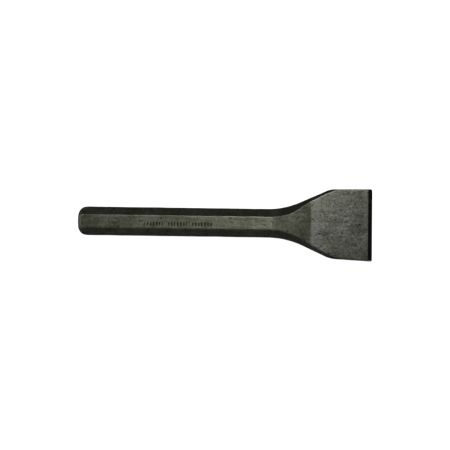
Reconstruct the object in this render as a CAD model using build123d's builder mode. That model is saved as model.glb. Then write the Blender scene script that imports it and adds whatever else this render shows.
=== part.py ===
from build123d import *
import os
from math import cos, radians, tan

# Brick bolster chisel: one forging, drawn out from hexagonal bar into a wide flat blade.
#
# The tool lies on one flat of the hexagon, along X, with the struck head at -X and the
# cutting edge at +X. The origin is under the middle of the tool, on the surface that it
# lies on, and the bar's axis runs above it at half the bar's height.
# A name that ends in _at is a distance along the tool from the struck face, and one that
# ends in _half is a half-height, above and below the bar's axis.

# Hexagonal bar
length = 186.0
across_flats = 16.0
edge_rounding = 1.0

# Struck head: a small flat face with a generous crown around it
struck_face_radius = 3.4
crown_radius = 5.8

# Widest outline, at the level of the bar's axis
blade_width = 45.84
blade_taper = 1.86
flare_angle = 24.5
flare_at = 131.0
flare_radius = 53.0
shoulder_radius = 20.0
blade_corner_radius = 1.1

# Outline that the sloping sides reach at the blank's upper and lower faces
blank_half = 9.0
face_set_in = 1.7
face_flare_at = 132.4
face_flare_radius = 22.0
face_shoulder_radius = 8.0

# Thickness: full height along the bar, a steep neck, then a slowly thinning blade
neck_at = 123.0
neck_crease_radius = 12.0
blade_at = 147.7
blade_half = 3.7
blade_crease_radius = 30.0
bevel_at = 183.4
bevel_half = 1.75
edge_half = 0.2

# Row of plain punch marks, sunk in the upper flat in equal groups with one mark's gap between them
marks_at = 63.0
marks_side = -1.3
mark_pitch = 1.9
marks_in_group = 7
mark_groups = 3
mark_length = 2.3
mark_width = 0.6
mark_depth = 0.3

# Values that follow from the dimensions above
axis_height = across_flats / 2
hex_slope = tan(radians(30))
bar_half_width = axis_height / cos(radians(30))
blank_bar_half_width = bar_half_width - blank_half * hex_slope
flare_slope = tan(radians(flare_angle))
taper_slope = tan(radians(blade_taper))
bevel_slope = (bevel_half - edge_half) / (length - bevel_at)
struck_x = -length / 2
edge_x = length / 2
clear = 1.0

# An edge runs along the tool if this much of its direction, out of 1, is along X
least_run_along = 0.8


def half_outline(bar_y, corner_at, edge_y):
    """Corners of one side of an outline: bar, flare, shoulder and blade."""
    corner_x = struck_x + corner_at
    shoulder_rise = edge_y - bar_y - taper_slope * (edge_x - corner_x)
    shoulder_run = shoulder_rise / (flare_slope - taper_slope)
    shoulder = (corner_x + shoulder_run, bar_y + flare_slope * shoulder_run)
    return [(struck_x, 0), (struck_x, bar_y), (corner_x, bar_y), shoulder, (edge_x, edge_y), (edge_x, 0)]


widest_outline = half_outline(bar_half_width, flare_at, blade_width / 2)
widest_radii = [0, flare_radius, shoulder_radius, 0]
face_outline = half_outline(blank_bar_half_width, face_flare_at, blade_width / 2 - face_set_in)
face_radii = [0, face_flare_radius, face_shoulder_radius, 0]
blank_levels = (
    (axis_height - blank_half, face_outline, face_radii),
    (axis_height, widest_outline, widest_radii),
    (axis_height + blank_half, face_outline, face_radii),
)

# Upright plane through the bar's axis: its x is along the tool, its y is height above the axis
side_plane = Plane(origin=(0, 0, axis_height), x_dir=(1, 0, 0), z_dir=(0, -1, 0))

with BuildPart() as bolster_chisel:
    # Blank: hexagonal along the bar, its sloping sides running out round the blade
    for level, outline, radii in blank_levels:
        with BuildSketch(Plane.XY.offset(level)):
            with BuildLine():
                FilletPolyline(outline, radius=radii)
                mirror(about=Plane.XZ)
            make_face()
    loft(ruled=True)

    # Flats of the bar, and the neck and blade drawn down from it
    with BuildSketch(side_plane):
        with BuildLine():
            FilletPolyline(
                (struck_x - clear, 0),
                (struck_x - clear, axis_height),
                (struck_x + neck_at, axis_height),
                (struck_x + blade_at, blade_half),
                (struck_x + bevel_at, bevel_half),
                (edge_x + clear, bevel_half),
                (edge_x + clear, 0),
                radius=[0, neck_crease_radius, blade_crease_radius, 0, 0],
            )
            mirror(about=Plane.XZ)
        make_face()
    extrude(amount=blade_width, both=True, mode=Mode.INTERSECT)

    # Rounding on every edge that runs along the tool
    fillet(
        bolster_chisel.edges().filter_by(lambda edge: abs(edge.tangent_at(0.5).X) > least_run_along),
        radius=edge_rounding,
    )

    # Crown of the struck head
    with BuildSketch(side_plane):
        with BuildLine():
            crown = RadiusArc(
                (struck_x, struck_face_radius),
                (struck_x + crown_radius, struck_face_radius + crown_radius),
                crown_radius,
            )
            Polyline(
                crown @ 1,
                crown @ 1 + Vector(0, clear),
                crown @ 0 + Vector(-clear, crown_radius + clear),
                crown @ 0 + Vector(-clear, 0),
                crown @ 0,
            )
        make_face()
    revolve(axis=Axis((0, 0, axis_height), (1, 0, 0)), mode=Mode.SUBTRACT)

    # Bevels that meet the narrow land of the cutting edge
    with BuildSketch(side_plane):
        with BuildLine():
            Polyline(
                (struck_x + bevel_at - clear, bevel_half + bevel_slope * clear),
                (edge_x + clear, edge_half - bevel_slope * clear),
                (edge_x + clear, axis_height),
                (struck_x + bevel_at - clear, axis_height),
                close=True,
            )
        make_face()
        mirror(about=Plane.XZ)
    extrude(amount=blade_width, both=True, mode=Mode.SUBTRACT)

    # Rounded ends of the cutting edge
    with BuildSketch(Plane.XY):
        with BuildLine():
            corner = RadiusArc(
                (edge_x - blade_corner_radius, blade_width / 2),
                (edge_x, blade_width / 2 - blade_corner_radius),
                blade_corner_radius,
            )
            Polyline(
                corner @ 1,
                corner @ 1 + Vector(clear, 0),
                corner @ 1 + Vector(clear, blade_corner_radius + clear),
                corner @ 0 + Vector(0, clear),
                corner @ 0,
            )
        make_face()
        mirror(about=Plane.XZ)
    extrude(amount=across_flats, mode=Mode.SUBTRACT)

    # Punch marks
    with BuildSketch(Plane.XY.offset(across_flats)):
        with Locations((struck_x + marks_at, marks_side)):
            with GridLocations(mark_pitch * (marks_in_group + 1), 1, mark_groups, 1):
                with GridLocations(mark_pitch, 1, marks_in_group, 1):
                    SlotOverall(mark_length, mark_width, rotation=90)
    extrude(amount=-mark_depth, mode=Mode.SUBTRACT)

bolster_chisel.part.label = "bolster_chisel"
os.makedirs("parts", exist_ok=True)
export_step(bolster_chisel.part, "parts/bolster_chisel.step")
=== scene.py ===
import math
from collections import namedtuple

import bmesh
import bpy
import numpy as np
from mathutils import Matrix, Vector, noise


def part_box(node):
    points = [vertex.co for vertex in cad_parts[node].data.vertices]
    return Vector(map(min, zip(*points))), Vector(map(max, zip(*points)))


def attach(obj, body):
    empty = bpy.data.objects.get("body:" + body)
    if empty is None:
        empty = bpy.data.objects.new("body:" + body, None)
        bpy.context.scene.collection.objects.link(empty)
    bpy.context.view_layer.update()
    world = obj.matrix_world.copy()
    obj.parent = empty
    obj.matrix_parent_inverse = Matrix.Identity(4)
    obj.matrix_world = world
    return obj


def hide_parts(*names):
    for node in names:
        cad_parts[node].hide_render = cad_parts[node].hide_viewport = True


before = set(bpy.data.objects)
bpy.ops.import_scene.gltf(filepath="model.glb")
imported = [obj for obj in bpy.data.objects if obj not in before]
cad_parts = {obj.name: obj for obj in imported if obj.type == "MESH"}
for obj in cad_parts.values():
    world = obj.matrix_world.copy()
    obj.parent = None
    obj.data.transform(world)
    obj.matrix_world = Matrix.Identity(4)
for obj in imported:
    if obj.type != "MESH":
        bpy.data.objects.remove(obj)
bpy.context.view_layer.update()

# Brick bolster chisel: one forging, drawn out from hexagonal bar into a wide flat blade. It lies on
# one flat of the hexagon, along X, with the struck head at -X and the cutting edge at +X.
#
# Lengths below are millimetres, and MM turns them into Blender's metres, which the corners of boxes
# and AXIS_Z are in. A name that ends in _AT or _at is a distance along the tool from the struck
# face, and one that ends in _HALF is a half-height above and below the bar's axis.
MM = 0.001
tool_low, tool_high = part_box("bolster_chisel")
LENGTH = (tool_high.x - tool_low.x) / MM
ACROSS_FLATS = (tool_high.z - tool_low.z) / MM
BLADE_HALF_WIDTH = (tool_high.y - tool_low.y) / 2 / MM
AXIS_Z = (tool_low.z + tool_high.z) / 2


# ---------------------------------------------------------------- dimensions

# Struck head: a small flat face with a crown around it, which runs softly into the bar's sides
FACE_RADIUS = 3.4
CROWN_RADIUS = 5.8
CROWN_SOFTNESS = 0.6

# Hexagonal bar
EDGE_ROUNDING = 0.8
# How much of that rounding there is along the tool: the neck's edges are crisper than the rest
ROUNDING_ALONG = [(0, 1), (118, 1), (124, 0.45), (144, 0.45), (150, 1.1), (LENGTH, 1)]
# The most of a side that the rounding at one end of it takes
ROUNDED_SHARE = 0.47
BAR_HALF = ACROSS_FLATS / 2
BAR_CORNER = BAR_HALF / math.cos(math.radians(30))
# The flats are a little narrower than a sharp hexagon's
FLAT_NARROWING = 0.55
BAR_FLAT_HALF_WIDTH = BAR_CORNER / 2 - FLAT_NARROWING
# Rounding a corner of the hexagon is the same as a narrow upright land with an arc each side
BAR_LAND_HALF = EDGE_ROUNDING * math.tan(math.radians(15))
BAR_LAND_HALF_WIDTH = BAR_CORNER - BAR_LAND_HALF * math.tan(math.radians(30))

# Outlines seen from above, one for each side of the bar's axis, because no forging is quite even:
# half-width of the bar, where the flare starts and its slope, half-width at the cutting edge and
# slope of the blade's side, and the radii of the flare and of the shoulder
Outline = namedtuple("Outline", "bar flare_at flare_slope edge side_slope radii")
WIDEST = {
    1: Outline(BAR_LAND_HALF_WIDTH, 130.2, 0.450, BLADE_HALF_WIDTH - 0.42, 0.013, (51, 13)),
    -1: Outline(BAR_LAND_HALF_WIDTH, 131.5, 0.463, BLADE_HALF_WIDTH + 0.52, 0.052, (55, 19)),
}
# The flat that faces up, inside the sloping sides. The flat that faces down has these two swapped
FLAT = {
    1: Outline(BAR_FLAT_HALF_WIDTH, 132.2, 0.704, 26.9, 0.101, (30, 92)),
    -1: Outline(BAR_FLAT_HALF_WIDTH, 130.9, 0.557, 22.6, 0.052, (38, 30)),
}
FLAT_LEAST_SET_IN = 0.14
BLADE_CORNER_RADIUS = 1.1
# The bar isn't quite square to the cutting edge: its axis leans to +Y by this much over the length
LEAN = 0.45 / LENGTH
# The cutting edge isn't quite square to the bar: it falls back by this much of the way to +Y
SKEW = 0.01
SKEW_FROM = 150.0

# Thickness
NECK_AT = 122.4
BLADE_AT = 146.8
BLADE_ROOT_HALF = 3.7
BEVEL_AT = 183.25
BEVEL_HALF = 1.75
# The blade's faces are slightly convex: they start this steep, and get steeper towards the bevel
BLADE_ROOT_SLOPE = 0.0225
EDGE_HALF = 0.2
CREASE_RADII = [2.0, 2.2, 0.3]
# Upright land that the trimming of the flash leaves round the blade, and where it grows to that
TRIM_LAND_HALF = 0.85
TRIM_LAND_GROWS = (118.0, 150.0)
# The most of the half-thickness that the land takes
LAND_SHARE = 0.45

# Slow wobbles along the tool, as wavelength and size: of the widest outline, of the flats'
# outlines, and of the edge rounding, where the size is a share of it. Each has its own seed
SIDE_WOBBLE = (23, 0.04)
SIDE_SEED = 10
SIDE_WOBBLE_GROWS = (5, 15)
SIDE_WOBBLE_FADES = (150, 170)
FLAT_WOBBLE = (17, 0.12)
FLAT_SEED = 20
ROUNDING_WOBBLE = (31, 0.25)
ROUNDING_SEED = 5
WOBBLE_OCTAVES = 4
OCTAVE_STRETCH = 1.7

# Painted shade darkens the sloping sides along this stretch, and stays as dark to the edge
SIDE_SHADE_GROWS = (122.0, 134.0)

# Segments along each side of the section, from the corner of the same index to the next one,
# and in the rounding of each corner
SIDE_SEGMENTS = [7, 60, 7, 2, 7, 60, 7, 2]
ARC_SEGMENTS = [3, 6, 6, 3, 3, 6, 6, 3]
# Which of those sides are the upper and lower flats, and which corners are beside them
FLATS = (1, 5)
CORNERS_BESIDE_FLATS = (1, 2, 5, 6)

# Rings in the crown and in the rounded ends of the cutting edge, and those inside the struck
# face, as shares of its outline
CROWN_RINGS = 15
BLADE_CORNER_RINGS = 8
STRUCK_FACE_RINGS = (0.8, 0.5, 0.22)


# ---------------------------------------------------------------- shape along the tool

def filleted(at, corners, radii):
    """Height of a line through corners, whose inner corners are rounded to radii, at each place."""
    corner_x, corner_y = np.array(corners, float).T
    height = np.interp(at, corner_x, corner_y)
    angles = np.arctan2(np.diff(corner_y), np.diff(corner_x))
    for i, radius in enumerate(radii):
        x, y, before, after = corner_x[i + 1], corner_y[i + 1], angles[i], angles[i + 1]
        side = np.sign(after - before)
        reach = radius * abs(math.tan((after - before) / 2))
        start = np.array([x - reach * math.cos(before), y - reach * math.sin(before)])
        centre = start + side * radius * np.array([-math.sin(before), math.cos(before)])
        inside = (at > start[0]) & (at < x + reach * math.cos(after))
        arc = centre[1] - side * np.sqrt(np.maximum(radius**2 - (at - centre[0]) ** 2, 0))
        height = np.where(inside, arc, height)
    return height


def smooth_step(at, start, end):
    """Rises smoothly from 0 at start to 1 at end."""
    share = np.clip((at - start) / (end - start), 0, 1)
    return share * share * (3 - 2 * share)


def wobble(at, wavelength, size, seed):
    """A slow seeded wobble about zero."""
    draw = np.random.default_rng(seed)
    total = np.zeros_like(at)
    for octave in range(WOBBLE_OCTAVES):
        stretch = OCTAVE_STRETCH**octave
        phase = draw.uniform(0, 2 * math.pi)
        total += np.sin(2 * math.pi * at * stretch / wavelength + phase) / stretch
    return total * size / 2


def half_width(at, line):
    """Half-width of an outline: straight bar, flare, shoulder, and a blade that widens a little."""
    rise = line.edge - line.side_slope * (LENGTH - line.flare_at) - line.bar
    run = rise / (line.flare_slope - line.side_slope)
    shoulder = (line.flare_at + run, line.bar + line.flare_slope * run)
    corners = [(0, line.bar), (line.flare_at, line.bar), shoulder, (LENGTH, line.edge)]
    return filleted(at, corners, line.radii)


def half_thickness(at):
    """Half-thickness: full along the bar, steep down the neck, then slowly less along the blade."""
    side_view = [
        (0, BAR_HALF),
        (NECK_AT, BAR_HALF),
        (BLADE_AT, BLADE_ROOT_HALF),
        (BEVEL_AT, BEVEL_HALF),
        (LENGTH, EDGE_HALF),
    ]
    blade_length = BEVEL_AT - BLADE_AT
    run = np.clip((at - BLADE_AT) / blade_length, 0, 1)
    bulge = (BLADE_ROOT_HALF - BEVEL_HALF) - BLADE_ROOT_SLOPE * blade_length
    return filleted(at, side_view, CREASE_RADII) + bulge * run * (1 - run)


def stations():
    """Places of the rings along the tool, close together where the shape turns."""
    crown = CROWN_RADIUS * (1 - np.cos(np.linspace(0, math.pi / 2, CROWN_RINGS)))
    corner_start = LENGTH - BLADE_CORNER_RADIUS
    corner_turn = np.linspace(0, math.pi / 2, BLADE_CORNER_RINGS)
    blade_corner = corner_start + BLADE_CORNER_RADIUS * np.sin(corner_turn)
    # Start, end and step of each stretch between those two
    spans = [
        (CROWN_RADIUS, 8, 0.4),
        (8, NECK_AT - 1.5, 1.0),
        (NECK_AT - 1.5, NECK_AT + 1.5, 0.2),
        (NECK_AT + 1.5, BLADE_AT - 1, 0.55),
        (BLADE_AT - 1, BLADE_AT + 1, 0.2),
        (BLADE_AT + 1, BEVEL_AT - 0.5, 0.6),
        (BEVEL_AT - 0.5, BEVEL_AT + 0.5, 0.1),
        (BEVEL_AT + 0.5, corner_start, 0.3),
    ]
    parts = [crown[:-1]]
    for start, end, step in spans:
        parts.append(np.linspace(start, end, round((end - start) / step), endpoint=False))
    return np.concatenate(parts + [blade_corner])


# ---------------------------------------------------------------- rings of the mesh

def section_corners(at):
    """Eight corners of the section at each station, as (across, up), anticlockwise from the +Y land."""
    thickness = half_thickness(at)
    land_growth = smooth_step(at, *TRIM_LAND_GROWS)
    land = BAR_LAND_HALF + (TRIM_LAND_HALF - BAR_LAND_HALF) * land_growth
    land = np.minimum(land, LAND_SHARE * thickness)
    corner_run = np.clip(at - (LENGTH - BLADE_CORNER_RADIUS), 0, BLADE_CORNER_RADIUS)
    corner_loss = BLADE_CORNER_RADIUS - np.sqrt(BLADE_CORNER_RADIUS**2 - corner_run**2)
    wobbling = smooth_step(at, *SIDE_WOBBLE_GROWS) * (1 - smooth_step(at, *SIDE_WOBBLE_FADES))
    across = {}
    for side in (1, -1):
        widest = half_width(at, WIDEST[side]) - corner_loss
        widest += wobble(at, *SIDE_WOBBLE, SIDE_SEED + side) * wobbling
        across[side] = widest
        for level in (1, -1):
            flat = half_width(at, FLAT[side * level]) - corner_loss
            flat += wobble(at, *FLAT_WOBBLE, FLAT_SEED + 2 * side + level)
            across[side, level] = np.minimum(flat, widest - FLAT_LEAST_SET_IN)
    corners = [
        (across[1], land),
        (across[1, 1], thickness),
        (-across[-1, 1], thickness),
        (-across[-1], land),
        (-across[-1], -land),
        (-across[-1, -1], -thickness),
        (across[1, -1], -thickness),
        (across[1], -land),
    ]
    return np.stack([np.stack(corner, -1) for corner in corners], 1)


def rounded_rings(at):
    """Points (across, up) of each ring, how far each is into a rounding, and if it is on a side."""
    corners = section_corners(at)
    ahead = np.roll(corners, -1, 1) - corners
    lengths = np.linalg.norm(ahead, axis=2)
    along = ahead / lengths[..., None]
    before = np.roll(along, 1, 1)
    lengths_before = np.roll(lengths, 1, 1)
    turn = np.arctan2(
        before[..., 0] * along[..., 1] - before[..., 1] * along[..., 0], (before * along).sum(2)
    )
    rounding = EDGE_ROUNDING * np.interp(at, *zip(*ROUNDING_ALONG))
    rounding = rounding * (1 + wobble(at, *ROUNDING_WOBBLE, ROUNDING_SEED))
    reach = rounding[:, None] * np.tan(turn / 2)
    reach = np.minimum(reach, ROUNDED_SHARE * np.minimum(lengths, lengths_before))
    radius = reach / np.tan(turn / 2)
    start = corners - before * reach[..., None]
    normal_angle = np.arctan2(-before[..., 0], before[..., 1])
    centre = start - radius[..., None] * np.stack([np.cos(normal_angle), np.sin(normal_angle)], -1)
    points, edge, on_side = [], [], []
    for i, (arc_segments, side_segments) in enumerate(zip(ARC_SEGMENTS, SIDE_SEGMENTS)):
        on_side += [int(i not in CORNERS_BESIDE_FLATS)] * (arc_segments + 1)
        on_side += [int(i not in FLATS)] * (side_segments - 1)
        for step in range(arc_segments + 1):
            angle = normal_angle[:, i] + turn[:, i] * step / arc_segments
            out = np.stack([np.cos(angle), np.sin(angle)], -1)
            points.append(centre[:, i] + radius[:, i, None] * out)
            edge.append(math.sin(math.pi * step / arc_segments))
        arc_end = points[-1]
        following = (i + 1) % len(SIDE_SEGMENTS)
        for step in range(1, side_segments):
            share = step / side_segments
            points.append(arc_end * (1 - share) + start[:, following] * share)
            edge.append(0)
    # The ring starts in the middle of the +Y land, so that its upper and lower halves match
    shift = SIDE_SEGMENTS[-1] // 2
    return np.roll(np.stack(points, 1), shift, 1), np.roll(edge, shift), np.roll(on_side, shift)


def crowned(at, rings):
    """The struck head's crown: each ring is drawn in to a circle that grows from the struck face."""
    run = np.clip(CROWN_RADIUS - at, 0, CROWN_RADIUS)
    limit = FACE_RADIUS + np.sqrt(CROWN_RADIUS**2 - run**2)
    limit = np.where(at < CROWN_RADIUS, limit, np.inf)[:, None]
    radius = np.linalg.norm(rings, axis=2)
    gap = np.clip((limit - radius) / CROWN_SOFTNESS, -1, 1)
    blended = np.minimum(radius, limit) - CROWN_SOFTNESS * (1 - np.abs(gap)) ** 2 / 4
    return rings * (blended / radius)[..., None]


def cutting_edge(last):
    """Faces of a narrow strip that joins the upper half of the last ring to its lower half."""
    around = len(last)
    half = around // 2
    faces = []
    for k in range(2, half - 2):
        faces.append([last[k], last[k + 1], last[around - k - 1], last[around - k]])
    # Each land is a straight line of three points, which one face takes in whole
    faces.append([last[0], last[1], last[2], last[around - 2], last[around - 1]])
    faces.append([last[half - 2], last[half - 1], last[half], last[half + 1], last[half + 2]])
    return faces


def struck_face(first, next_index):
    """Points and faces inside the first ring: smaller rings, and a point in the middle."""
    around = len(first)
    axis = np.array([0, AXIS_Z])
    outer = np.arange(around)
    points, faces = [], []
    for share in STRUCK_FACE_RINGS:
        ring = first.copy()
        ring[:, 1:] = (ring[:, 1:] - axis) * share + axis
        points.append(ring)
        inner = np.arange(next_index, next_index + around)
        next_index += around
        faces += np.stack([outer, inner, np.roll(inner, -1), np.roll(outer, -1)], -1).tolist()
        outer = inner
    points.append(np.array([[tool_low.x, 0, AXIS_Z]]))
    faces += [[int(outer[k]), next_index, int(outer[(k + 1) % around])] for k in range(around)]
    return np.concatenate(points), faces


def forging_mesh(name):
    """The whole forging as rings joined by four-sided faces, closed at both ends."""
    at = stations()
    rings, edge, on_side = rounded_rings(at)
    rings = crowned(at, rings)
    rings[..., 0] += (at * LEAN)[:, None]
    ring_count, around = rings.shape[:2]
    skewed = SKEW * smooth_step(at, SKEW_FROM, LENGTH)[:, None] * (rings[..., 0] + BLADE_HALF_WIDTH)
    x = tool_low.x + (at[:, None] - skewed) * MM
    points = np.stack([x, rings[..., 0] * MM, AXIS_Z + rings[..., 1] * MM], -1).reshape(-1, 3)

    index = np.arange(ring_count * around).reshape(ring_count, around)
    after = np.roll(index, -1, 1)
    faces = np.stack([index[:-1], after[:-1], after[1:], index[1:]], -1).reshape(-1, 4).tolist()
    faces += cutting_edge(index[-1])
    face_points, face_faces = struck_face(points[index[0]], len(points))
    faces += face_faces

    mesh = bpy.data.meshes.new(name)
    mesh.from_pydata(np.concatenate([points, face_points]).tolist(), [], faces)
    mesh.update()
    # Edges lighter: partly wear, partly a painted highlight on the roundings
    edge_wear_and_highlight = np.tile(edge, ring_count)
    # Painted shade on the sloping sides, which grows over the neck
    painted_side_shade = (smooth_step(at, *SIDE_SHADE_GROWS)[:, None] * on_side).ravel()
    for attribute, values in (("edge_wear_and_highlight", edge_wear_and_highlight), ("painted_side_shade", painted_side_shade)):
        values = np.concatenate([values, np.zeros(len(face_points))]).astype(np.float32)
        mesh.attributes.new(attribute, "FLOAT", "POINT").data.foreach_set("value", values)
    mesh.polygons.foreach_set("use_smooth", [True] * len(mesh.polygons))
    return mesh


# ---------------------------------------------------------------- punch marks

# A row of plain marks in equal groups, with one mark's gap between them
MARKS_AT = 63.0
MARKS_SIDE = -1.3
MARK_PITCH = 1.9
MARKS_IN_GROUP = 7
MARK_GROUPS = 3
MARK_LENGTH = 2.3
MARK_WIDTH = 0.6
MARK_DEPTH = 0.4
# How far the cutters reach above the flat, which the flat's own waves stay within
CUTTER_RISE = 0.12
# No two marks are struck alike: the least and most that one is shifted across, and lifted
MARK_SHIFT = (-0.1, 0.1)
MARK_LIFT = (-0.06, 0.08)
MARK_SEED = 7
# Faces of one cutter: its top, then its short ends and long sides in turn
CUTTER_FACES = [(0, 1, 2, 3), (0, 4, 1), (1, 4, 5, 2), (2, 5, 3), (3, 5, 4, 0)]
# Edges shorter than this are too short to see
LEAST_EDGE = 0.002


def cutter_points(middle, lift):
    """Points of a V-shaped cutter for one mark: four above the flat, and two along its bottom."""
    widening = 1 + CUTTER_RISE / MARK_DEPTH
    across = Vector((MARK_WIDTH / 2 * widening, 0, 0))
    bottom = Vector((0, (MARK_LENGTH - MARK_WIDTH) / 2, 0))
    tip = bottom + Vector((0, MARK_WIDTH / 2 * widening, 0))
    rise = Vector((0, 0, CUTTER_RISE + lift))
    depth = Vector((0, 0, MARK_DEPTH - lift))
    top = [-across - tip, across - tip, across + tip, -across + tip]
    return [middle + p + rise for p in top] + [middle - bottom - depth, middle + bottom - depth]


def punch_cutters():
    """One object that holds the cutters of the whole row."""
    draw = np.random.default_rng(MARK_SEED)
    middle_place = (MARK_GROUPS * (MARKS_IN_GROUP + 1) - 2) / 2
    origin = Vector((tool_low.x / MM + MARKS_AT, MARKS_SIDE + MARKS_AT * LEAN, tool_high.z / MM))
    points, faces = [], []
    for group in range(MARK_GROUPS):
        for mark in range(MARKS_IN_GROUP):
            place = group * (MARKS_IN_GROUP + 1) + mark - middle_place
            middle = origin + Vector((place * MARK_PITCH, draw.uniform(*MARK_SHIFT), 0))
            faces += [[len(points) + k for k in face] for face in CUTTER_FACES]
            points += cutter_points(middle, draw.uniform(*MARK_LIFT))
    mesh = bpy.data.meshes.new("punch_cutters")
    mesh.from_pydata([p * MM for p in points], [], faces)
    mesh.update()
    cutters = bpy.data.objects.new("punch_cutters", mesh)
    bpy.context.scene.collection.objects.link(cutters)
    return cutters


def apply_modifiers(piece):
    """Gives the piece the mesh that its modifiers make, without edges too short to see."""
    depsgraph = bpy.context.evaluated_depsgraph_get()
    made = bpy.data.meshes.new_from_object(piece.evaluated_get(depsgraph))
    piece.modifiers.clear()
    piece.data = made
    edited = bmesh.new()
    edited.from_mesh(made)
    bmesh.ops.dissolve_degenerate(edited, edges=edited.edges, dist=LEAST_EDGE * MM)
    edited.to_mesh(made)
    edited.free()


def punch(piece, cutters, material_index):
    """Sinks the punch marks into the piece, and gives their insides the material of that index."""
    for material in piece.data.materials:
        cutters.data.materials.append(material)
    for face in cutters.data.polygons:
        face.material_index = material_index
    punching = piece.modifiers.new("punching", "BOOLEAN")
    punching.operation = "DIFFERENCE"
    punching.solver = "EXACT"
    punching.object = cutters
    apply_modifiers(piece)
    bpy.data.objects.remove(cutters)


# ---------------------------------------------------------------- surface of the forging

# Waves of the forged surface, as size, height and seed. The slow ones are sunk by that share of
# their height, so that hardly any of the surface stands above the CAD's
SLOW_WAVES = (14, 0.05, 1)
SLOW_WAVES_SUNK = 0.8
SHORT_WAVES = (4, 0.02, 2)
WAVES_GROW = (0.5, 6)
WAVES_FADE = (180, BEVEL_AT)

# Dings in the upper side: distance from the struck face, across, half-length, half-width and depth
DINGS = [
    (169.7, 1.2, 1.9, 0.6, 0.1), (152.3, -6.3, 1.2, 0.9, 0.1), (160.3, -5.6, 1.6, 0.8, 0.1),
    (156.5, -6.8, 2.6, 0.5, 0.06), (161.5, 6.5, 0.8, 0.9, 0.08), (24.0, 1.4, 1.1, 0.7, 0.08),
    (98.0, -0.9, 0.9, 0.6, 0.07), (117.0, -1.2, 0.8, 0.6, 0.08), (139.0, 3.5, 1.1, 0.8, 0.07),
    (176.0, -12.0, 0.7, 1.4, 0.08), (178.5, 17.0, 0.8, 0.8, 0.08), (166.0, 9.0, 0.9, 0.8, 0.06),
    (180.0, -5.5, 0.8, 1.2, 0.08), (148.8, 2.2, 0.8, 0.7, 0.06),
]
# How steeply a ding's hollow ends around it
DING_STEEPNESS = 1.6
# Each seed moves the noise this far, in lumps
SEED_OFFSET = Vector((7.3, 3.1, 5.7))


def field(points, size, seed):
    """Smooth noise at each point, about -1 to 1, whose lumps are size millimetres across."""
    offset = SEED_OFFSET * seed
    scale = 1 / (size * MM)
    return np.array([noise.noise(Vector(p) * scale + offset) for p in points])


def waves(points, at):
    """Height of the forged surface's waves, which stop short of the struck face and the bevel."""
    slow_size, slow_height, slow_seed = SLOW_WAVES
    short_size, short_height, short_seed = SHORT_WAVES
    height = slow_height * (field(points, slow_size, slow_seed) - SLOW_WAVES_SUNK)
    height += short_height * field(points, short_size, short_seed)
    return height * smooth_step(at, *WAVES_GROW) * (1 - smooth_step(at, *WAVES_FADE))


def roughen(mesh):
    """Moves each point a little along its normal, for the waves and dings of a forged surface."""
    count = len(mesh.vertices)
    points = np.empty(count * 3, np.float32)
    normals = np.empty(count * 3, np.float32)
    mesh.vertices.foreach_get("co", points)
    mesh.vertex_normals.foreach_get("vector", normals)
    points, normals = points.reshape(-1, 3).astype(float), normals.reshape(-1, 3)
    at = (points[:, 0] - tool_low.x) / MM
    moved = waves(points, at)
    pitted = np.zeros(count)
    for ding_at, side, half_length, half_width_across, depth in DINGS:
        along = (at - ding_at) / half_length
        across = (points[:, 1] / MM - side) / half_width_across
        hollow = np.exp(-DING_STEEPNESS * np.hypot(along, across) ** 2)
        hollow = np.where(points[:, 2] > AXIS_Z, hollow, 0)
        moved -= depth * hollow
        pitted = np.maximum(pitted, hollow)
    points += normals * moved[:, None] * MM
    mesh.vertices.foreach_set("co", points.astype(np.float32).ravel())
    mesh.attributes.new("pitted", "FLOAT", "POINT").data.foreach_set("value", pitted.astype(np.float32))
    mesh.update()


# ---------------------------------------------------------------- shader nodes

def feed(tree, socket, value):
    """Links an input from another node's socket, or sets it to a plain value."""
    if isinstance(value, bpy.types.NodeSocket):
        tree.links.new(value, socket)
    else:
        socket.default_value = value


def add_node(tree, kind, inputs=None, **settings):
    """Adds a shader node and feeds its named inputs."""
    made = tree.nodes.new("ShaderNode" + kind)
    for name, value in settings.items():
        setattr(made, name, value)
    for name, value in (inputs or {}).items():
        feed(tree, made.inputs[name], value)
    return made


def start_material(name):
    """An empty node material, its node tree, and the place of each point for its textures."""
    made = bpy.data.materials.new(name)
    made.use_nodes = True
    tree = made.node_tree
    tree.nodes.clear()
    return made, tree, add_node(tree, "TexCoord").outputs["Object"]


def finish_material(tree, surface):
    """Ends a material with a Principled shader that has these inputs."""
    shader = add_node(tree, "BsdfPrincipled", surface)
    add_node(tree, "OutputMaterial", {"Surface": shader.outputs[0]})


def soft_noise(tree, place, size, detail=2.0, roughness=0.5):
    """Noise whose lumps are about size millimetres across, from 0 to 1."""
    inputs = {"Vector": place, "Scale": 1 / (size * MM), "Detail": detail, "Roughness": roughness}
    return add_node(tree, "TexNoise", inputs).outputs["Fac"]


def stretched(tree, place, along, across):
    """Coordinates that make a texture along times as long in X, and across times as wide."""
    inputs = {"Vector": place, "Scale": (1 / along, 1 / across, 1 / across)}
    return add_node(tree, "Mapping", inputs).outputs["Vector"]


def spread(tree, value, low, high, to_low=0, to_high=1):
    """Maps low..high of a value to to_low..to_high, and no further."""
    inputs = {"Value": value, "From Min": low, "From Max": high, "To Min": to_low, "To Max": to_high}
    return add_node(tree, "MapRange", inputs).outputs["Result"]


def calculate(tree, operation, first, second):
    """Joins two values by arithmetic."""
    made = add_node(tree, "Math", operation=operation)
    feed(tree, made.inputs[0], first)
    feed(tree, made.inputs[1], second)
    return made.outputs[0]


def mixed(tree, share, first, second, blend_type="MIX"):
    """Mixes two colours. A colour Mix node has its share at input 0 and its colours at 6 and 7."""
    made = add_node(tree, "Mix", data_type="RGBA", blend_type=blend_type)
    feed(tree, made.inputs[0], share)
    feed(tree, made.inputs[6], first)
    feed(tree, made.inputs[7], second)
    return made.outputs[2]


def multiplied(tree, colour, factor):
    """A colour made lighter, darker or tinted by another."""
    return mixed(tree, 1.0, colour, factor, "MULTIPLY")


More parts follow.
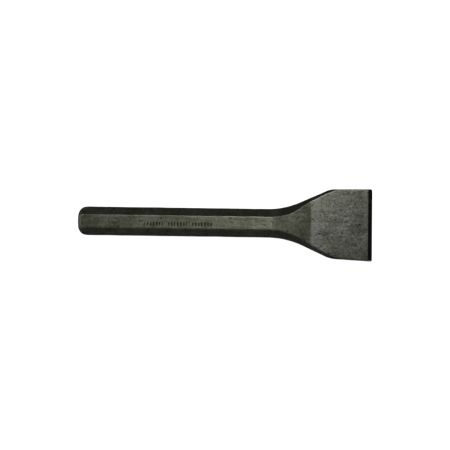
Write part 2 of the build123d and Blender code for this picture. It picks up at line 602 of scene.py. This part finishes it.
def bumped(tree, height, distance, strength, normal=None):
    """A bump of that many millimetres on top of another normal."""
    inputs = {"Height": height, "Distance": distance * MM, "Strength": strength}
    if normal:
        inputs["Normal"] = normal
    return add_node(tree, "Bump", inputs).outputs["Normal"]


def painted(tree, attribute):
    """A value that the mesh holds for each of its points."""
    return add_node(tree, "Attribute", attribute_name=attribute).outputs["Fac"]


def grey(value):
    """A neutral colour, or above 1 a factor that lightens one."""
    return (value, value, value, 1)


# ---------------------------------------------------------------- materials

# Noise is mostly within the first of these ranges, and nearly always within the second
MOST_NOISE = (0.35, 0.65)
WIDE_NOISE = (0.3, 0.7)

OLIVE_SCALE = (0.22, 0.226, 0.165, 1)
GREY_SCALE = (0.30, 0.306, 0.25, 1)
# The darkest scale, in the pits and dings, and also the painted shade on the sloping sides
DARK_SCALE_AND_SIDE_SHADE = (0.05, 0.05, 0.038, 1)
# Factors for the darkest and the lightest speckles, which are stronger on the blade
BAR_SPECKLE = ((0.62, 0.62, 0.6, 1), grey(1.28))
BLADE_SPECKLE = ((0.42, 0.42, 0.39, 1), grey(1.5))
# Factors that make the blade's grey a little cooler than the bar's
BAR_TINT = (1, 1, 0.97, 1)
BLADE_TINT = (1, 0.995, 1.06, 1)
# Factors for the darkest and the lightest streaks along the tool
STREAKS = (grey(0.86), grey(1.12))
# The blade's face has a painted highlight just past its crease, over this stretch and by this share at
# most
PAINTED_CREST_HIGHLIGHT = (0.5, 0.5, 0.49, 1)
CREST_STRETCH = (1, 10)
CREST_SHARE = 0.16
# Edges are lighter: partly worn, partly a painted highlight on their roundings
RUBBED_EDGE_AND_HIGHLIGHT = (0.42, 0.42, 0.40, 1)
# Darkest and lightest patches of the ground bevel, whose darkness is painted shade, of the punch marks'
# insides and of the floor
BEVEL_SHADE_COLOURS = ((0.06, 0.06, 0.05, 1), (0.11, 0.11, 0.095, 1))
PUNCHED_COLOURS = ((0.03, 0.03, 0.024, 1), (0.08, 0.08, 0.065, 1))
FLOOR_COLOURS = (grey(0.86), grey(0.9))
FLOOR_GLOW = 0.97


def scale_colour(tree, place, grain, mottle):
    """Colour of the thin scale: mottled, speckled, streaked along the tool, and with a painted highlight
    past the crease.
    """
    colour = mixed(tree, spread(tree, mottle, *MOST_NOISE), OLIVE_SCALE, GREY_SCALE)

    along = add_node(tree, "SeparateXYZ", {"Vector": place}).outputs["X"]
    blade_x = tool_low.x + BLADE_AT * MM
    on_blade = spread(tree, along, blade_x - MM, blade_x + MM)
    dark, light = [mixed(tree, on_blade, *pair) for pair in zip(BAR_SPECKLE, BLADE_SPECKLE)]
    colour = multiplied(tree, colour, mixed(tree, spread(tree, grain, *WIDE_NOISE), dark, light))
    colour = multiplied(tree, colour, mixed(tree, on_blade, BAR_TINT, BLADE_TINT))

    streak = spread(tree, soft_noise(tree, stretched(tree, place, 14, 1), 1.3), *MOST_NOISE)
    colour = multiplied(tree, colour, mixed(tree, streak, *STREAKS))

    # Painted highlight on the blade's face, just past the crease
    crest_start, crest_end = CREST_STRETCH
    crest_start, crest_end = blade_x + crest_start * MM, blade_x + crest_end * MM
    crest = spread(tree, along, crest_start, crest_end, CREST_SHARE, 0)
    return mixed(tree, calculate(tree, "MULTIPLY", on_blade, crest), colour, PAINTED_CREST_HIGHLIGHT)


def blackened_steel():
    """Forged steel, thin dark olive scale: grained, mottled, pitted; edges partly worn, partly painted
    highlight; painted shade on the sloping sides.
    """
    material, tree, place = start_material("blackened_forged_steel")
    grain = soft_noise(tree, place, 1.1, detail=3.0, roughness=0.65)
    fine = soft_noise(tree, place, 0.4, roughness=0.6)
    mottle = soft_noise(tree, place, 9.0, detail=3.0, roughness=0.6)
    pits = spread(tree, soft_noise(tree, place, 2.2, detail=1.0), 0.66, 0.72, 0, 0.75)
    patchy = spread(tree, fine, 0.3, 0.6, 0.9, 0.35)
    dings = calculate(tree, "MULTIPLY", painted(tree, "pitted"), patchy)
    pits = calculate(tree, "MAXIMUM", pits, dings)
    colour = mixed(tree, pits, scale_colour(tree, place, grain, mottle), DARK_SCALE_AND_SIDE_SHADE)

    # Painted shade: the sloping sides are darker from the neck on
    patchy = spread(tree, fine, *WIDE_NOISE, 0.65, 0.3)
    side_shade = calculate(tree, "MULTIPLY", painted(tree, "painted_side_shade"), patchy)
    colour = mixed(tree, side_shade, colour, DARK_SCALE_AND_SIDE_SHADE)
    # Edges lighter, partly by wear and partly as a painted highlight
    patchy = spread(tree, grain, 0.42, 0.62, 0.1, 0.65)
    worn_and_highlit = calculate(tree, "MULTIPLY", painted(tree, "edge_wear_and_highlight"), patchy)
    colour = mixed(tree, worn_and_highlit, colour, RUBBED_EDGE_AND_HIGHLIGHT)

    rough = spread(tree, grain, 0.25, 0.75, 0.31, 0.45)
    rough = calculate(tree, "ADD", rough, spread(tree, mottle, *WIDE_NOISE, -0.03, 0.04))

    normal = bumped(tree, mottle, 0.25, 0.4)
    normal = bumped(tree, grain, 0.06, 0.6, normal)
    normal = bumped(tree, fine, 0.02, 0.5, normal)
    normal = bumped(tree, calculate(tree, "SUBTRACT", 1.0, pits), 0.08, 0.7, normal)
    finish_material(tree, {"Base Color": colour, "Roughness": rough, "Normal": normal, "Metallic": 0.9})
    return material


def ground_bevel():
    """The bevel, ground after forging, with a near-black colour that is painted shade: smoother, with
    fine lines across the edge.
    """
    material, tree, place = start_material("ground_bevel")
    lines = soft_noise(tree, stretched(tree, place, 20, 1), 0.35, roughness=0.6)
    patches = spread(tree, soft_noise(tree, place, 3.0, roughness=0.6), *MOST_NOISE)
    # Painted shade: the bevel's near-black colour
    colour = mixed(tree, patches, *BEVEL_SHADE_COLOURS)
    rough = spread(tree, lines, *WIDE_NOISE, 0.24, 0.36)
    normal = bumped(tree, lines, 0.02, 0.5)
    finish_material(tree, {"Base Color": colour, "Roughness": rough, "Normal": normal, "Metallic": 0.95})
    return material


def punched_steel():
    """Inside the punch marks, where dark scale and dirt stay."""
    material, tree, place = start_material("punched_steel")
    grain = soft_noise(tree, place, 0.5, roughness=0.6)
    colour = mixed(tree, grain, *PUNCHED_COLOURS)
    rough = spread(tree, grain, *WIDE_NOISE, 0.5, 0.7)
    normal = bumped(tree, grain, 0.04, 0.6)
    finish_material(tree, {"Base Color": colour, "Roughness": rough, "Normal": normal, "Metallic": 0.6})
    return material


def studio_white():
    """Pale floor that glows, so that it stays plain and even, and lights nothing."""
    material, tree, place = start_material("studio_white")
    colour = mixed(tree, soft_noise(tree, place, 60.0), *FLOOR_COLOURS)
    glow = {"Emission Color": grey(1), "Emission Strength": FLOOR_GLOW}
    finish_material(tree, {"Base Color": colour, "Roughness": 0.9, **glow})
    material.cycles.emission_sampling = "NONE"
    return material


# ---------------------------------------------------------------- the piece

# Where these materials are in the piece's list, in which the forged steel is the first
GROUND, PUNCHED = 1, 2
# A face that looks to the side by this share or more belongs to the blade's side, not to its bevels
SIDEWAYS = 0.5


def set_bevel_material(mesh):
    """Gives the bevels and the land between them their material."""
    bevel_x = tool_low.x + BEVEL_AT * MM
    for face in mesh.polygons:
        if face.center.x > bevel_x and abs(face.normal.y) < SIDEWAYS:
            face.material_index = GROUND


forging = bpy.data.objects.new("bolster_chisel_forging", forging_mesh("bolster_chisel_forging"))
bpy.context.scene.collection.objects.link(forging)
roughen(forging.data)
for material in (blackened_steel(), ground_bevel(), punched_steel()):
    forging.data.materials.append(material)
set_bevel_material(forging.data)
punch(forging, punch_cutters(), PUNCHED)

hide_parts("bolster_chisel")
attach(forging, "root")


# ---------------------------------------------------------------- studio

SENSOR_WIDTH = 36.0
LENS = 150.0
VIEW_WIDTH = 284.55
VIEW_ROLL = math.radians(0.94)
VIEW_CENTRE = Vector((-0.24, -1.26))
CAMERA_HEIGHT = VIEW_WIDTH * LENS / SENSOR_WIDTH
NEAREST_SEEN = 10
FARTHEST_SEEN = 20000

# Floor: rings out to the rim of the flat part, then a bend up into a wall
FLOOR_RINGS = (20, 300, 800, 1600)
BEND_RADIUS = 1200
BEND_STEPS = 12
WALL_HEIGHT = 3000
FLOOR_POINTS_AROUND = 96

WORLD_GREY = 0.024

# Lights: name, place, the point that it faces, width, height and watts
LIGHTS = [
    # Above the blade and the head, far enough to +Y that the sloping sides stay dark
    ("key", (56, 142, 350), (56, 142, 0), 120, 160, 0.31),
    ("head_key", (-55, 142, 350), (-55, 142, 0), 80, 160, 0.025),
    # Low, from beyond the head and from -Y, for the head's rim and the lower slopes
    ("head_rim", (-300, 0, -40), (-90, 0, 8), 260, 140, 0.041),
    ("front_fill", (40, -560, 20), (0, 0, 0), 800, 200, 0.06),
    # What a white table would throw back up at the lower sides
    ("front_bounce", (0, -330, -520), (0, 0, 8), 800, 300, 0.1),
    ("back_bounce", (0, 330, -520), (0, 0, 8), 800, 300, 0.05),
    # Above the sides and the head, and off the corners, to show the flats to a lower camera
    ("front_high", (0, -330, 500), (0, 0, 0), 400, 120, 0.08),
    ("back_high", (0, 420, 620), (0, 0, 0), 400, 120, 0.12),
    ("head_high", (-480, 0, 210), (0, 0, 0), 260, 120, 0.1),
    ("back_left", (-440, 380, 290), (0, 0, 0), 280, 200, 0.34),
    ("back_right", (430, 430, 340), (0, 0, 0), 280, 200, 0.24),
    ("front_left", (-430, -430, 300), (0, 0, 0), 280, 200, 0.16),
    ("front_right", (430, -430, 170), (0, 0, 0), 280, 180, 0.38),
]


def make_camera():
    """Looks straight down on the tool through a long lens."""
    camera = bpy.data.objects.new("camera", bpy.data.cameras.new("camera"))
    camera.data.sensor_width = SENSOR_WIDTH
    camera.data.lens = LENS
    camera.data.clip_start = NEAREST_SEEN * MM
    camera.data.clip_end = FARTHEST_SEEN * MM
    camera.location = (VIEW_CENTRE.x * MM, VIEW_CENTRE.y * MM, AXIS_Z + CAMERA_HEIGHT * MM)
    camera.rotation_euler = (0, 0, VIEW_ROLL)
    bpy.context.scene.collection.objects.link(camera)
    bpy.context.scene.camera = camera


def softbox(name, place, aim, width, height, power):
    """A soft rectangular light at place that faces aim, which the camera doesn't see."""
    lamp = bpy.data.lights.new(name, "AREA")
    lamp.shape = "RECTANGLE"
    lamp.size = width * MM
    lamp.size_y = height * MM
    lamp.energy = power
    box = bpy.data.objects.new(name, lamp)
    box.location = Vector(place) * MM
    box.rotation_euler = (Vector(aim) - Vector(place)).to_track_quat("-Z", "Y").to_euler()
    box.visible_camera = False
    bpy.context.scene.collection.objects.link(box)


def make_floor():
    """A white floor that curves up into a wall all round, seen only by the camera."""
    profile = [(radius, 0) for radius in FLOOR_RINGS]
    flat_radius = FLOOR_RINGS[-1]
    for step in range(1, BEND_STEPS + 1):
        angle = math.pi / 2 * step / BEND_STEPS
        height = BEND_RADIUS * (1 - math.cos(angle))
        profile.append((flat_radius + BEND_RADIUS * math.sin(angle), height))
    profile.append((flat_radius + BEND_RADIUS, WALL_HEIGHT))
    around = FLOOR_POINTS_AROUND
    points, faces = [], []
    for radius, height in profile:
        for step in range(around):
            angle = 2 * math.pi * step / around
            x, y = radius * MM * math.cos(angle), radius * MM * math.sin(angle)
            points.append((x, y, tool_low.z + height * MM))
    for ring in range(len(profile) - 1):
        for step in range(around):
            a, b = ring * around + step, ring * around + (step + 1) % around
            faces.append((a, a + around, b + around, b))
    faces.append(tuple(range(around)))
    mesh = bpy.data.meshes.new("studio_floor")
    mesh.from_pydata(points, [], faces)
    mesh.polygons.foreach_set("use_smooth", [True] * len(mesh.polygons))
    mesh.materials.append(studio_white())
    floor = bpy.data.objects.new("studio_floor", mesh)
    bpy.context.scene.collection.objects.link(floor)
    floor.visible_diffuse = False
    floor.visible_glossy = False
    floor.visible_shadow = False


def make_world():
    """A very faint grey light from everywhere, and a plain view of the colours."""
    world = bpy.data.worlds.new("studio")
    world.use_nodes = True
    background = world.node_tree.nodes["Background"]
    background.inputs["Color"].default_value = grey(WORLD_GREY)
    background.inputs["Strength"].default_value = 1.0
    bpy.context.scene.world = world
    bpy.context.scene.view_settings.view_transform = "Standard"


make_camera()
make_floor()
make_world()
for light in LIGHTS:
    softbox(*light)
